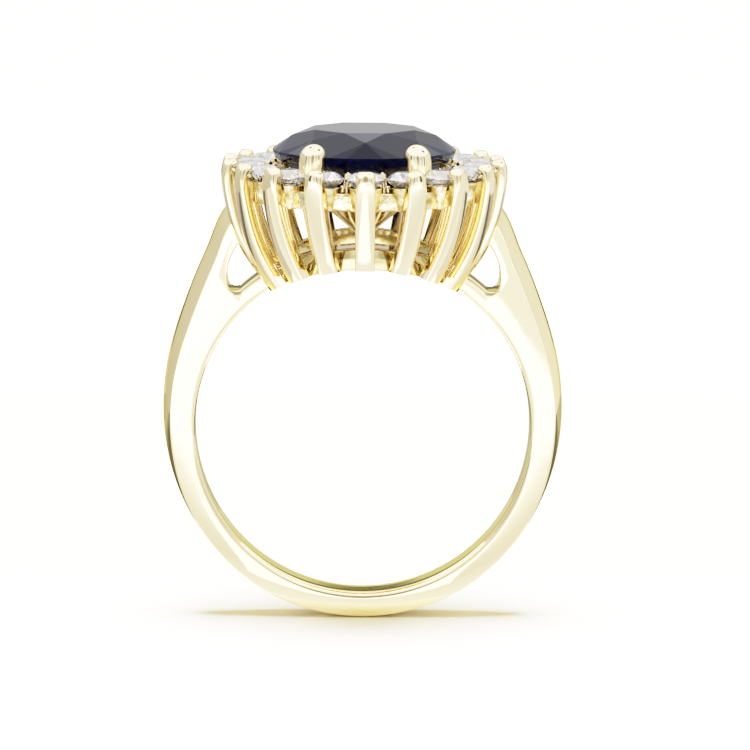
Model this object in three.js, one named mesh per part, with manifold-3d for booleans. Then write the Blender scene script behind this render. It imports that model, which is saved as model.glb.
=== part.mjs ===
// Engagement ring: an oval sapphire held by four claws, inside a halo of eighteen round diamonds.
// Each diamond has an outer claw of its own, a square wire that sweeps down to the finger hole,
// and the band divides at each shoulder into an upper arm and a lower arm with an open gap between.
// Millimetres. The origin is the centre of the finger hole, Y runs along the finger,
// and +Z goes up through the centre stone.

import * as THREE from 'three';
import { ConvexGeometry } from 'three/addons/geometries/ConvexGeometry.js';
import { LoftGeometry } from 'three/addons/geometries/LoftGeometry.js';
import { mergeVertices } from 'three/addons/utils/BufferGeometryUtils.js';
import Module from 'manifold-3d';

// Driving dimensions

const GAP = 0.03; // soldered and set pieces stand this far apart

const BORE_RADIUS = 8.25; // finger hole of a US size 6
const BAND_WIDTH = 2.3;
const COMFORT_RADIUS = 0.3; // rounding of the band's inner edges

const STONE_HALF_WIDTH = 4.5; // 9 x 11 oval sapphire
const STONE_HALF_LENGTH = 5.5;
const STONE_GIRDLE_Z = 13.62;
const STONE_TABLE_Z = 14.7;
const STONE_CULET_Z = 9.3;
const STONE_TABLE_SHARE = 0.59;
const STONE_CROWN_SHARE = 0.84; // ring of corners between the girdle and the table
const STONE_CROWN_RISE = 0.55;
const STONE_PAVILION_SHARE = 0.58; // ring of corners half way down to the culet
const STONE_GIRDLE_HEIGHT = 0.12;

const DIAMOND_COUNT = 18;
const DIAMOND_RADIUS = 0.96;
const DIAMOND_GIRDLE_Z = 12.76;
const DIAMOND_CROWN = 0.36;
const DIAMOND_PAVILION = 0.83;
const DIAMOND_TABLE_SHARE = 0.55;
const DIAMOND_GIRDLE_HEIGHT = 0.06;

const HALO_HALF_WIDTH = 5.55; // oval through the diamonds' centres
const HALO_HALF_LENGTH = 6.55;
const HALO_EASING = 0.02; // brings the diamonds at the ends of the oval apart

const CLAW_TIP_Z = 13.28;
const CLAW_FACE_OFFSET = 1.6; // from a diamond's centre out to its claw's outer face
const CLAW_WIDTH = 0.95;
const CLAW_TOP_DEPTH = 0.86;
const CLAW_FOOT_DEPTH = 0.6;
const CLAW_CHAMFER = 0.12;
const CLAW_SWEEP = 1.7; // power that the inward sweep follows
const FOOT_HALF_WIDTH = 5.1; // oval of the claws' feet
const FOOT_HALF_LENGTH = 5.9;
const FOOT_FLAT = 4.5; // where the shoulders cut that oval flat
const FOOT_RADIUS = BORE_RADIUS + GAP; // the feet lie on this cylinder

const GALLERY_WIDTH = 0.7;
const GALLERY_TOP_RADIUS = 9.27; // the gallery and its bridge follow the finger hole
const BRIDGE_TOP_RADIUS = 8.9;
const BRIDGE_HALF_ANGLE = 0.62;
const BRIDGE_STEPS = 16;

const RAIL_TOP_Z = 12.15;
const RAIL_BOTTOM_Z = 11.27;
const RAIL_INSIDE = 0.6; // how far the halo rail reaches in and out from the diamonds' oval
const RAIL_OUTSIDE_TOP = 0.52;
const RAIL_OUTSIDE_BOTTOM = 0.33;

const BEAD_RADIUS = 0.2; // inner beads, shared by neighbouring diamonds
const BEAD_TOP_Z = 13.08;
const BEAD_INSET = 0.85;
const BEAD_ROOT_RISE = 0.3; // the beads stand in the rail this far above its bottom

const CENTRE_CLAW_ANGLE = 0.56; // from the oval's long axis, in radians of its parameter
const CENTRE_CLAW_TOP_Z = 14.32;
const CENTRE_CLAW_RADIUS = 0.6;
const CENTRE_CLAW_FOOT_RADIUS = 0.42;
const CENTRE_CLAW_BEND_OFFSET = 0.6; // out from the sapphire's edge where the claw bends in
const CENTRE_CLAW_BEND_Z = 12.4;
const CENTRE_CLAW_TIP_OFFSET = 0.12;
const CENTRE_CLAW_FULL_SHARE = 0.6; // full thickness from this share of the way up
const CENTRE_CLAW_SIDES = 10;

const HEAD_CLEARANCE = 0.1; // between the band's arms and the basket of claws

const SHANK_STEPS = 72;
const DOME_STEPS = 6;
const OVAL_STEPS = 54;

const TAU = 2 * Math.PI;

// Solids: three.js geometry to manifold-3d and back

const wasm = await Module();
wasm.setup();

function solidOf( geometry ) {

	const bare = new THREE.BufferGeometry();
	bare.setAttribute( 'position', geometry.getAttribute( 'position' ) );
	bare.setIndex( geometry.index );
	const merged = mergeVertices( bare, 1e-5 );
	return new wasm.Manifold( new wasm.Mesh( {
		numProp: 3,
		vertProperties: merged.attributes.position.array,
		triVerts: new Uint32Array( merged.index.array ),
	} ) );

}

function geometryOf( solid ) {

	const mesh = solid.getMesh();
	const geometry = new THREE.BufferGeometry();
	geometry.setAttribute( 'position', new THREE.BufferAttribute( mesh.vertProperties, 3 ) );
	geometry.setIndex( new THREE.BufferAttribute( mesh.triVerts, 1 ) );
	geometry.computeVertexNormals();
	return geometry;

}

function subtractAll( solid, cutters ) {

	return cutters.reduce( ( left, cutter ) => left.subtract( cutter ), solid );

}

// Ovals. The parameter t runs from the front, -Y, towards +X.

function ovalPoint( t, halfWidth, halfLength ) {

	return new THREE.Vector2( halfWidth * Math.sin( t ), - halfLength * Math.cos( t ) );

}

function ovalNormal( t, halfWidth, halfLength ) {

	return ovalPoint( t, 1 / halfWidth, 1 / halfLength ).normalize();

}

function haloPoint( t, offset ) {

	const normal = ovalNormal( t, HALO_HALF_WIDTH, HALO_HALF_LENGTH );
	return ovalPoint( t, HALO_HALF_WIDTH, HALO_HALF_LENGTH ).addScaledVector( normal, offset );

}

function haloParameter( place ) {

	const t = TAU * place / DIAMOND_COUNT;
	return t + HALO_EASING * Math.sin( 2 * t );

}

function footPoint( t, offset ) {

	const foot = ovalPoint( t, FOOT_HALF_WIDTH, FOOT_HALF_LENGTH );
	foot.x = THREE.MathUtils.clamp( foot.x, - FOOT_FLAT, FOOT_FLAT );
	return foot.addScaledVector( ovalNormal( t, HALO_HALF_WIDTH, HALO_HALF_LENGTH ), offset );

}

// Height above the finger's centre of a cylinder of this radius, over x.
function heightOnCylinder( radius, x ) {

	return Math.sqrt( radius ** 2 - x ** 2 );

}

// A point at share s of the way from a claw's tip, 0, to its foot, 1, at x, y.
function pointOnSweep( point, s ) {

	const foot = heightOnCylinder( FOOT_RADIUS, point.x );
	return new THREE.Vector3( point.x, point.y, THREE.MathUtils.lerp( CLAW_TIP_Z, foot, s ) );

}

// The outer face of the basket: where the outer claws' faces lie.
function basketFace( t, s, offset = 0 ) {

	const top = haloPoint( t, CLAW_FACE_OFFSET + offset );
	return top.lerp( footPoint( t, offset ), s ** CLAW_SWEEP );

}

// Stones: a table, a girdle and a pavilion as the hull of their corners.

function ring( count, halfWidth, halfLength, z, turn = 0 ) {

	return Array.from( { length: count }, ( _, i ) => {

		const flat = ovalPoint( TAU * ( i + turn ) / count, halfWidth, halfLength );
		return new THREE.Vector3( flat.x, flat.y, z );

	} );

}

function diamondGeometry( t, grow = 0 ) {

	const radius = DIAMOND_RADIUS + grow;
	const tableRadius = DIAMOND_RADIUS * DIAMOND_TABLE_SHARE + grow;
	const halfGirdle = DIAMOND_GIRDLE_HEIGHT / 2 + grow;
	const geometry = new ConvexGeometry( [
		...ring( 8, tableRadius, tableRadius, DIAMOND_CROWN + grow, 0.5 ),
		...ring( 16, radius, radius, halfGirdle ),
		...ring( 16, radius, radius, - halfGirdle ),
		new THREE.Vector3( 0, 0, - DIAMOND_PAVILION - grow ),
	] );
	const centre = haloPoint( t, 0 );
	return geometry.rotateZ( t ).translate( centre.x, centre.y, DIAMOND_GIRDLE_Z );

}

function sapphireGeometry( grow = 0 ) {

	const halfGirdle = STONE_GIRDLE_HEIGHT / 2 + grow;
	const level = ( count, share, z, turn ) => ring(
		count, STONE_HALF_WIDTH * share + grow, STONE_HALF_LENGTH * share + grow, z, turn );
	const pavilionZ = ( STONE_CULET_Z + STONE_GIRDLE_Z ) / 2;
	const crownZ = THREE.MathUtils.lerp( STONE_GIRDLE_Z, STONE_TABLE_Z, STONE_CROWN_RISE );
	return new ConvexGeometry( [
		...level( 16, STONE_TABLE_SHARE, STONE_TABLE_Z + grow, 0 ),
		...level( 16, STONE_CROWN_SHARE, crownZ + grow, 0.5 ),
		...level( 32, 1, STONE_GIRDLE_Z + halfGirdle, 0 ),
		...level( 32, 1, STONE_GIRDLE_Z - halfGirdle, 0 ),
		...level( 16, STONE_PAVILION_SHARE, pavilionZ - grow, 0 ),
		new THREE.Vector3( 0, 0, STONE_CULET_Z - grow ),
	] );

}

// Outer claws: a square wire with a convex tip, chamfered along its corners.

function outerClawSection( t, s, share, grow ) {

	const half = CLAW_WIDTH / 2;
	const depth = THREE.MathUtils.lerp( CLAW_TOP_DEPTH, CLAW_FOOT_DEPTH, s );
	const normal = ovalNormal( t, HALO_HALF_WIDTH, HALO_HALF_LENGTH );
	const along = new THREE.Vector2( - normal.y, normal.x );
	const middle = basketFace( t, s ).addScaledVector( normal, - depth / 2 );
	const wide = half * share + grow;
	const deep = depth / 2 * share + grow;
	const corner = CLAW_CHAMFER * share;
	const outline = [
		[ wide, deep - corner ], [ wide - corner, deep ],
		[ corner - wide, deep ], [ - wide, deep - corner ],
		[ - wide, corner - deep ], [ corner - wide, - deep ],
		[ wide - corner, - deep ], [ wide, corner - deep ],
	];
	return outline.map( ( [ u, v ] ) => pointOnSweep(
		middle.clone().addScaledVector( along, u ).addScaledVector( normal, v ), s ) );

}

function outerClawGeometry( t, grow = 0 ) {

	const tip = [ [ 0, 0.5 ], [ 0.02, 0.82 ] ];
	const wire = [ 0.08, 0.3, 0.5, 0.7, 0.86, 1 ].map( ( s ) => [ s, 1 ] );
	const sections = [ ...tip, ...wire ].map( ( [ s, share ] ) => outerClawSection( t, s, share, grow ) );
	return new LoftGeometry( sections, { capStart: true, capEnd: true } );

}

// Centre claws: round wires from the gallery up past the sapphire's girdle, with a domed tip.

function centreClawGeometry( t, grow = 0 ) {

	const normal = ovalNormal( t, STONE_HALF_WIDTH, STONE_HALF_LENGTH );
	const edge = ovalPoint( t, STONE_HALF_WIDTH, STONE_HALF_LENGTH );
	const middleOfGallery = - CLAW_FOOT_DEPTH - GAP - GALLERY_WIDTH / 2;
	const foot = footPoint( t, middleOfGallery );
	const footRadius = GALLERY_TOP_RADIUS + GAP;
	const bend = edge.clone().addScaledVector( normal, CENTRE_CLAW_BEND_OFFSET );
	const tip = edge.clone().addScaledVector( normal, CENTRE_CLAW_TIP_OFFSET );
	const axis = new THREE.QuadraticBezierCurve3(
		new THREE.Vector3( foot.x, foot.y, heightOnCylinder( footRadius, foot.x ) ),
		new THREE.Vector3( bend.x, bend.y, CENTRE_CLAW_BEND_Z ),
		new THREE.Vector3( tip.x, tip.y, CENTRE_CLAW_TOP_Z ) );
	const levels = [ 0, 0.2, 0.4, 0.6, 0.78, 0.88, 0.94, 0.98, 1 ];
	const sections = levels.map( ( along ) => {

		const centre = axis.getPoint( along );
		const belowDome = CENTRE_CLAW_TOP_Z + 0.02 - centre.z; // the tip ends in a small flat
		const fromEquator = Math.max( 0, 1 - belowDome / CENTRE_CLAW_RADIUS );
		const domeShare = Math.sqrt( 1 - fromEquator ** 2 );
		const growth = Math.min( 1, along / CENTRE_CLAW_FULL_SHARE );
		const wire = THREE.MathUtils.lerp( CENTRE_CLAW_FOOT_RADIUS, CENTRE_CLAW_RADIUS, growth );
		const radius = wire * domeShare + grow;
		return ring( CENTRE_CLAW_SIDES, radius, radius, 0 ).map( ( point ) => {

			const x = centre.x + point.x;
			const z = along === 0 ? heightOnCylinder( footRadius, x ) - grow : centre.z + grow * along;
			return new THREE.Vector3( x, centre.y + point.y, z );

		} );

	} );
	return new LoftGeometry( sections, { capStart: true, capEnd: true } );

}

// The basket's outer surface as one solid, to trim the shank and the bridge with.

function basketEnvelope( offset ) {

	const levels = [ 0, 0.2, 0.4, 0.55, 0.7, 0.8, 0.9, 1, 1.1 ];
	const sections = levels.map( ( s ) => Array.from( { length: OVAL_STEPS }, ( _, i ) =>
		pointOnSweep( basketFace( - TAU * i / OVAL_STEPS, Math.min( 1, s ), offset ), s ) ) );
	return new LoftGeometry( sections, { capStart: true, capEnd: true } );

}

// A closed rail: the section's corners, given by t, all the way round the oval.

function railGeometry( sectionAt ) {

	const sections = Array.from( { length: OVAL_STEPS + 1 }, ( _, i ) =>
		sectionAt( TAU * ( i % OVAL_STEPS ) / OVAL_STEPS ) );
	return new LoftGeometry( sections );

}

// Lower gallery: an oval rail along the finger hole, with a bridge across it in line with the band.

function gallerySection( t ) {

	const outside = - CLAW_FOOT_DEPTH - GAP;
	const inside = outside - GALLERY_WIDTH;
	const corners = [
		[ inside, FOOT_RADIUS ], [ inside, GALLERY_TOP_RADIUS ],
		[ outside, GALLERY_TOP_RADIUS ], [ outside, FOOT_RADIUS ],
	];
	return corners.map( ( [ offset, radius ] ) => {

		const flat = footPoint( t, offset );
		return new THREE.Vector3( flat.x, flat.y, heightOnCylinder( radius, flat.x ) );

	} );

}

function bridgeGeometry() {

	const halfWidth = BAND_WIDTH / 2;
	const corners = [
		[ - halfWidth, FOOT_RADIUS ], [ halfWidth, FOOT_RADIUS ],
		[ halfWidth, BRIDGE_TOP_RADIUS ], [ - halfWidth, BRIDGE_TOP_RADIUS ],
	];
	const sections = Array.from( { length: BRIDGE_STEPS + 1 }, ( _, i ) => {

		const angle = BRIDGE_HALF_ANGLE * ( 2 * i / BRIDGE_STEPS - 1 );
		return corners.map( ( [ y, radius ] ) =>
			new THREE.Vector3( radius * Math.sin( angle ), y, radius * Math.cos( angle ) ) );

	} );
	return new LoftGeometry( sections, { capStart: true, capEnd: true } );

}

// Halo rail: carries the diamonds' pavilions, with small beads standing up along its inner edge.

function haloRailSection( t ) {

	const corners = [
		[ - RAIL_INSIDE, RAIL_BOTTOM_Z ], [ - RAIL_INSIDE, RAIL_TOP_Z ],
		[ RAIL_OUTSIDE_TOP, RAIL_TOP_Z ], [ RAIL_OUTSIDE_BOTTOM, RAIL_BOTTOM_Z ],
	];
	return corners.map( ( [ offset, z ] ) => {

		const flat = haloPoint( t, offset );
		return new THREE.Vector3( flat.x, flat.y, z );

	} );

}

function beadGeometry( t ) {

	const root = haloPoint( t, BEAD_RADIUS - RAIL_INSIDE + 0.05 );
	const top = haloPoint( t, - BEAD_INSET );
	const shoulder = 0.85; // share of the height where the tip begins
	const levels = [ [ 0, 1 ], [ 0.35, 1 ], [ shoulder, 1 ], [ 1, 0.5 ] ];
	const sections = levels.map( ( [ along, share ] ) => {

		const centre = root.clone().lerp( top, Math.min( 1, along / shoulder ) );
		const radius = BEAD_RADIUS * share;
		const z = THREE.MathUtils.lerp( RAIL_BOTTOM_Z + BEAD_ROOT_RISE, BEAD_TOP_Z, along );
		const offset = new THREE.Vector3( centre.x, centre.y, 0 );
		return ring( 6, radius, radius, z ).map( ( point ) => point.add( offset ) );

	} );
	return new LoftGeometry( sections, { capStart: true, capEnd: true } );

}

// Shank: a comfort-fit band whose outer side is slightly domed and grows deeper towards the shoulders.

const DEGREES_FROM_BOTTOM = [ 0, 60, 90, 110, 125, 138, 150, 180 ];
const BAND_DEPTHS = [ 1.25, 1.34, 1.57, 1.95, 2.48, 3.38, 4.65, 4.65 ];
const DOME_HEIGHTS = [ 0.05, 0.12, 0.35, 0.5, 0.6, 0.65, 0.65, 0.65 ];
const bandDepth = new THREE.CubicInterpolant( DEGREES_FROM_BOTTOM, BAND_DEPTHS, 1 );
const domeHeight = new THREE.CubicInterpolant( DEGREES_FROM_BOTTOM, DOME_HEIGHTS, 1 );

function shankSection( degrees ) {

	const fromBottom = Math.min( degrees, 360 - degrees );
	const ridge = BORE_RADIUS + bandDepth.evaluate( fromBottom )[ 0 ];
	const dome = domeHeight.evaluate( fromBottom )[ 0 ];
	const half = BAND_WIDTH / 2;
	const side = ( sign ) => [ 0, 0.5, 1 ].map( ( share ) => {

		const turn = share * Math.PI / 2;
		return [
			sign * ( half - COMFORT_RADIUS * ( 1 - Math.sin( turn ) ) ),
			BORE_RADIUS + COMFORT_RADIUS * ( 1 - Math.cos( turn ) ),
		];

	} );
	const outside = Array.from( { length: DOME_STEPS + 1 }, ( _, i ) => {

		const across = 2 * i / DOME_STEPS - 1;
		return [ half * across, ridge - dome * across ** 2 ];

	} );
	const outline = [ ...side( - 1 ), ...outside, ...side( 1 ).reverse() ];
	const angle = THREE.MathUtils.degToRad( degrees );
	return outline.map( ( [ y, radius ] ) =>
		new THREE.Vector3( radius * Math.sin( angle ), y, - radius * Math.cos( angle ) ) );

}

function shankGeometry() {

	const sections = Array.from( { length: SHANK_STEPS + 1 }, ( _, i ) =>
		shankSection( 360 * ( i % SHANK_STEPS ) / SHANK_STEPS ) );
	return new LoftGeometry( sections );

}

// The gap between a shoulder's two arms, seen along the finger; side is 1 for +X, -1 for -X.

function shoulderGapGeometry( side ) {

	const top = new THREE.Vector2( 5.95, 9.35 );
	const toe = new THREE.Vector2( 6.1, 6.78 );
	const headward = new THREE.Vector2( 3.8, 8.3 );
	const outline = new THREE.Shape();
	outline.moveTo( top.x, top.y );
	outline.bezierCurveTo( 6.4, 8.75, 6.75, 8.1, 6.7, 7.35 );
	outline.quadraticCurveTo( 6.66, 6.62, toe.x, toe.y );
	outline.absarc( 0, 0, toe.length(), toe.angle(), headward.angle(), false ); // the lower arm's top
	outline.lineTo( headward.x, top.y );
	const depth = 2 * BAND_WIDTH;
	const geometry = new THREE.ExtrudeGeometry( outline, { depth, bevelEnabled: false, curveSegments: 8 } );
	geometry.rotateX( Math.PI / 2 ).translate( 0, depth / 2, 0 );
	return side > 0 ? geometry : geometry.rotateZ( Math.PI );

}

// The assembly

const gold = new THREE.MeshStandardMaterial( { color: 0xe3c983, metalness: 1, roughness: 0.15 } );
const sapphire = new THREE.MeshStandardMaterial( { color: 0x10124a, metalness: 0, roughness: 0.05 } );
const diamond = new THREE.MeshStandardMaterial( { color: 0xf2f2fa, metalness: 0, roughness: 0.03 } );

const ringAssembly = new THREE.Group();

function addPiece( name, solid, material ) {

	const mesh = new THREE.Mesh( geometryOf( solid ), material );
	mesh.name = name;
	ringAssembly.add( mesh );

}

const centreClaws = {
	centre_claw_front_right: CENTRE_CLAW_ANGLE,
	centre_claw_back_right: Math.PI - CENTRE_CLAW_ANGLE,
	centre_claw_back_left: Math.PI + CENTRE_CLAW_ANGLE,
	centre_claw_front_left: TAU - CENTRE_CLAW_ANGLE,
};
const places = Array.from( { length: DIAMOND_COUNT }, ( _, i ) => i );
const wideDiamonds = places.map( ( place ) => solidOf( diamondGeometry( haloParameter( place ), GAP ) ) );
const wideSapphire = solidOf( sapphireGeometry( GAP ) );
const gaps = [ 1, - 1 ].map( ( side ) => solidOf( shoulderGapGeometry( side ) ) );
const headRoom = solidOf( basketEnvelope( HEAD_CLEARANCE ) );
const shank = subtractAll( solidOf( shankGeometry() ), [ headRoom, ...gaps ] );
addPiece( 'shank', shank, gold );

const sidePlaces = [ 4, 5, 13, 14 ]; // the outer claws that stand in line with the band
const bridge = solidOf( bridgeGeometry() ).intersect( solidOf( basketEnvelope( 0 ) ) );
const gallery = solidOf( railGeometry( gallerySection ) ).add( bridge );
const sideClaws = sidePlaces.map( ( place ) => solidOf( outerClawGeometry( haloParameter( place ), GAP ) ) );
addPiece( 'lower_gallery', subtractAll( gallery, sideClaws ), gold );

const wideCentreClaws = Object.values( centreClaws ).map( ( t ) => solidOf( centreClawGeometry( t, GAP ) ) );
const centreClawPlaces = [ 1.5, 7.5, 10.5, 16.5 ]; // no bead where a centre claw passes
const beadPlaces = places.map( ( place ) => place + 0.5 ).filter(
	( place ) => ! centreClawPlaces.includes( place ) );
const beads = beadPlaces.map( ( place ) => solidOf( beadGeometry( haloParameter( place ) ) ) );
const rail = solidOf( railGeometry( haloRailSection ) );
const beadedRail = beads.reduce( ( joined, bead ) => joined.add( bead ), rail );
addPiece( 'halo_rail', subtractAll( beadedRail, [ ...wideDiamonds, ...wideCentreClaws ] ), gold );

for ( const [ name, t ] of Object.entries( centreClaws ) ) {

	const claw = subtractAll( solidOf( centreClawGeometry( t ) ), [ wideSapphire, ...wideDiamonds ] );
	addPiece( name, claw, gold );

}

for ( const place of places ) {

	const t = haloParameter( place );
	const number = String( place + 1 ).padStart( 2, '0' );
	const claw = solidOf( outerClawGeometry( t ) ).subtract( wideDiamonds[ place ] );
	addPiece( `outer_claw_${ number }`, claw, gold );
	addPiece( `halo_diamond_${ number }`, solidOf( diamondGeometry( t ) ), diamond );

}

addPiece( 'centre_sapphire', solidOf( sapphireGeometry() ), sapphire );

export default ringAssembly;
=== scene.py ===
"""Looks of the engagement ring: polished yellow gold, an oval sapphire and a halo of eighteen diamonds.

Shapes are worked out in millimetres in the CAD frame, and the finished meshes are scaled to metres.
The origin is the centre of the finger hole, Y runs along the finger and +Z goes up through the sapphire.
"""
import math

import bmesh
import bpy
from mathutils import Matrix, Vector


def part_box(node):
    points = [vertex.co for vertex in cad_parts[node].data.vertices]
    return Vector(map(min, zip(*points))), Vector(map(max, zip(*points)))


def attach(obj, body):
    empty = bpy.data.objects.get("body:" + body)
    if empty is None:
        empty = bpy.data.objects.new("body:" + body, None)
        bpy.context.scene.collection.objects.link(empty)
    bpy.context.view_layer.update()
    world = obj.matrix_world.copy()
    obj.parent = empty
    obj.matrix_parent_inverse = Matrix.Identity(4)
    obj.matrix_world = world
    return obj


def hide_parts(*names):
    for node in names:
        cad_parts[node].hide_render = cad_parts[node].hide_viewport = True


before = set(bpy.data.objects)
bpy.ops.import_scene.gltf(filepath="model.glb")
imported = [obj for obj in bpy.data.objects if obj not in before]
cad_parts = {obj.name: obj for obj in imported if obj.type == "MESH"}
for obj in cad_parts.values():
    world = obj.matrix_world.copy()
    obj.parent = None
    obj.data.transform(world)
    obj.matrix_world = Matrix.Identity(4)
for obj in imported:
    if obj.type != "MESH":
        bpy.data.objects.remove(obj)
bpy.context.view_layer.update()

MM = 0.001  # metres in a millimetre
TAU = 2 * math.pi


# Driving dimensions, in millimetres, read from the frame where a node's box gives them

def node_box(node):
    low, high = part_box(node)
    return low / MM, high / MM


shank_low, shank_high = node_box("shank")
stone_low, stone_high = node_box("centre_sapphire")
diamond_low, diamond_high = node_box("halo_diamond_01")
claw_low, claw_high = node_box("outer_claw_01")
rail_low, _ = node_box("halo_rail")
DIAMOND_COUNT = sum(node.startswith("halo_diamond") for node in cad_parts)

BORE_RADIUS = 8.25
BAND_WIDTH = shank_high.y - shank_low.y
COMFORT_RADIUS = 0.3
EDGE_ROUNDING = 0.07
GAP_EDGE_ROUNDING = EDGE_ROUNDING * 1.3
SHANK_OVERLAP = 0.12  # the shoulders reach this far in past the claws' outer faces

STONE_HALF_WIDTH = (stone_high.x - stone_low.x) / 2
STONE_HALF_LENGTH = (stone_high.y - stone_low.y) / 2
STONE_TABLE_Z = stone_high.z
STONE_CULET_Z = stone_low.z
STONE_GIRDLE_Z = 13.62
STONE_GIRDLE_HEIGHT = 0.12
STONE_TABLE_SHARE = 0.59  # sizes across, as shares of the girdle's
STONE_STAR_SHARE = 0.79
STONE_LOWER_SHARE = 0.28
PAVILION_BULGE = ((0.975, 0.42), (0.87, 0.95))  # share of the girdle's size, depth below the girdle
SEAT_SHARES = (0.06, 0.68)  # the gold cone's ends, on the way up from the culet to the girdle
SEAT_GAP = 0.005  # from the stone to the cone, as a share of the girdle's size
SEAT_WALL = 0.03  # the cone's thickness, as the same share

DIAMOND_RADIUS = (diamond_high.x - diamond_low.x) / 2
DIAMOND_CROWN = 0.36
DIAMOND_PAVILION = 0.83
DIAMOND_GIRDLE_Z = diamond_high.z - DIAMOND_CROWN
DIAMOND_GIRDLE_HEIGHT = 0.06
DIAMOND_TABLE_SHARE = 0.55
DIAMOND_STAR_SHARE = 0.78
DIAMOND_LOWER_SHARE = 0.25

HALO_HALF_WIDTH = 5.55
HALO_HALF_LENGTH = 6.55
HALO_EASING = 0.02

CLAW_TIP_Z = claw_high.z
CLAW_FACE_OFFSET = 1.6
CLAW_WIDTH = claw_high.x - claw_low.x
CLAW_TOP_DEPTH = 0.86
CLAW_FOOT_DEPTH = 0.6
CLAW_EDGE = 0.1
CLAW_CROWNING = 0.08  # the outer face is this much higher along its middle
CLAW_SWEEP = 1.7
CLAW_TIP_HEIGHT = 1.3  # the tip's outer face curves in over this height
CLAW_TIP_LEAN = 0.34
CLAW_TIP_SHOULDER = 0.36
CLAW_TIP_ROUNDING = 0.25
CLAW_TIP_EDGE = 0.42
CLAW_TO_DIAMOND = 0.012
FOOT_HALF_WIDTH = 5.1
FOOT_HALF_LENGTH = 5.9
FOOT_FLAT = 4.5
FOOT_RADIUS = BORE_RADIUS + 0.03

GALLERY_WIDTH = 0.75
GALLERY_TOP_RADIUS = 9.27
BRIDGE_TOP_RADIUS = 8.9
BRIDGE_HALF_ANGLE = 0.6

RAIL_BOTTOM_Z = rail_low.z
RAIL_TOP_Z = RAIL_BOTTOM_Z + 0.88
RAIL_HALF_WIDTH = 0.42
RAIL_INSET = 0.06
SEAT_HOLE_RADIUS = 0.34
SEAT_MOUTH_RADIUS = 0.75
CUP_TOP_Z = DIAMOND_GIRDLE_Z - 0.36

BEAD_RADIUS = 0.2
BEAD_TOP_Z = 13.08
BEAD_ROOT_OFFSET = -0.4  # from the halo's middle line, inwards
BEAD_TOP_OFFSET = -0.85

CENTRE_CLAW_ANGLE = 0.56
CENTRE_CLAW_TOP_Z = 14.32
CENTRE_CLAW_RADIUS = 0.65
CENTRE_CLAW_FOOT_RADIUS = 0.42
CENTRE_CLAW_BEND_OFFSET = 0.6  # from the sapphire's edge, outwards
CENTRE_CLAW_BEND_Z = 12.4
CENTRE_CLAW_TIP_OFFSET = 0.12
CENTRE_CLAWS = {
    "front_right": CENTRE_CLAW_ANGLE,
    "back_right": math.pi - CENTRE_CLAW_ANGLE,
    "back_left": math.pi + CENTRE_CLAW_ANGLE,
    "front_left": -CENTRE_CLAW_ANGLE,
}
SKIPPED_BEADS = (1.5, 7.5, 10.5, 16.5)  # the places between diamonds where the centre claws stand


def lerp(a, b, share):
    return a + (b - a) * share


# Meshes

def loft(sections, ring=False):
    """Vertices and faces of a skin over sections that all have as many points; a ring has no ends."""
    count, wide = len(sections), len(sections[0])
    vertices = [point for section in sections for point in section]
    faces = []
    for i in range(count if ring else count - 1):
        here, there = i * wide, (i + 1) % count * wide
        for j in range(wide):
            k = (j + 1) % wide
            faces.append((here + j, here + k, there + k, there + j))
    if not ring:
        faces.append(tuple(range(wide))[::-1])
        faces.append(tuple(range((count - 1) * wide, count * wide)))
    return vertices, faces


def add_object(name, vertices, faces):
    """A closed mesh object in millimetres with its faces pointing out."""
    mesh = bpy.data.meshes.new(name)
    mesh.from_pydata([tuple(v) for v in vertices], [], faces)
    work = bmesh.new()
    work.from_mesh(mesh)
    bmesh.ops.recalc_face_normals(work, faces=work.faces)
    work.to_mesh(mesh)
    work.free()
    piece = bpy.data.objects.new(name, mesh)
    bpy.context.scene.collection.objects.link(piece)
    return piece


def hull_object(name, points):
    """The convex hull of the points, with flat facets."""
    mesh = bpy.data.meshes.new(name)
    work = bmesh.new()
    for point in points:
        work.verts.new(point)
    hull = bmesh.ops.convex_hull(work, input=work.verts)
    spare = {e for e in hull["geom_interior"] + hull["geom_unused"] if isinstance(e, bmesh.types.BMVert)}
    bmesh.ops.delete(work, geom=[vertex for vertex in work.verts if vertex in spare], context="VERTS")
    bmesh.ops.dissolve_limit(work, angle_limit=math.radians(0.6), verts=work.verts, edges=work.edges)
    bmesh.ops.recalc_face_normals(work, faces=work.faces)
    work.to_mesh(mesh)
    work.free()
    piece = bpy.data.objects.new(name, mesh)
    bpy.context.scene.collection.objects.link(piece)
    return piece


def cut(piece, cutter):
    """Takes the cutter out of the piece and removes the cutter."""
    modifier = piece.modifiers.new("cut", "BOOLEAN")
    modifier.operation = "DIFFERENCE"
    modifier.solver = "EXACT"
    modifier.object = cutter
    graph = bpy.context.evaluated_depsgraph_get()
    result = bpy.data.meshes.new_from_object(piece.evaluated_get(graph))
    piece.modifiers.clear()
    old = piece.data
    piece.data = result
    bpy.data.meshes.remove(old)
    bpy.data.objects.remove(cutter)


def finish_piece(piece, material, stands_for=(), sharp_degrees=30):
    """Scales a piece to metres, shades it, and lets it ride on the ring's one body."""
    piece.data.transform(Matrix.Scale(MM, 4))
    piece.data.materials.clear()
    piece.data.materials.append(material)
    for face in piece.data.polygons:
        face.use_smooth = sharp_degrees > 0
    if sharp_degrees > 0:
        piece.data.set_sharp_from_angle(angle=math.radians(sharp_degrees))
    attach(piece, "root")
    if stands_for:
        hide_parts(*stands_for)
    return piece


# Ovals. The parameter t runs from the front, -Y, towards +X.

MIDDLE = Vector((0, 0))


def oval_point(t, half_width, half_length):
    return Vector((half_width * math.sin(t), -half_length * math.cos(t)))


def level_oval(centre, half_width, half_length, z, steps):
    points = []
    for i in range(steps):
        flat = oval_point(TAU * i / steps, half_width, half_length)
        points.append((centre.x + flat.x, centre.y + flat.y, z))
    return points


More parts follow.
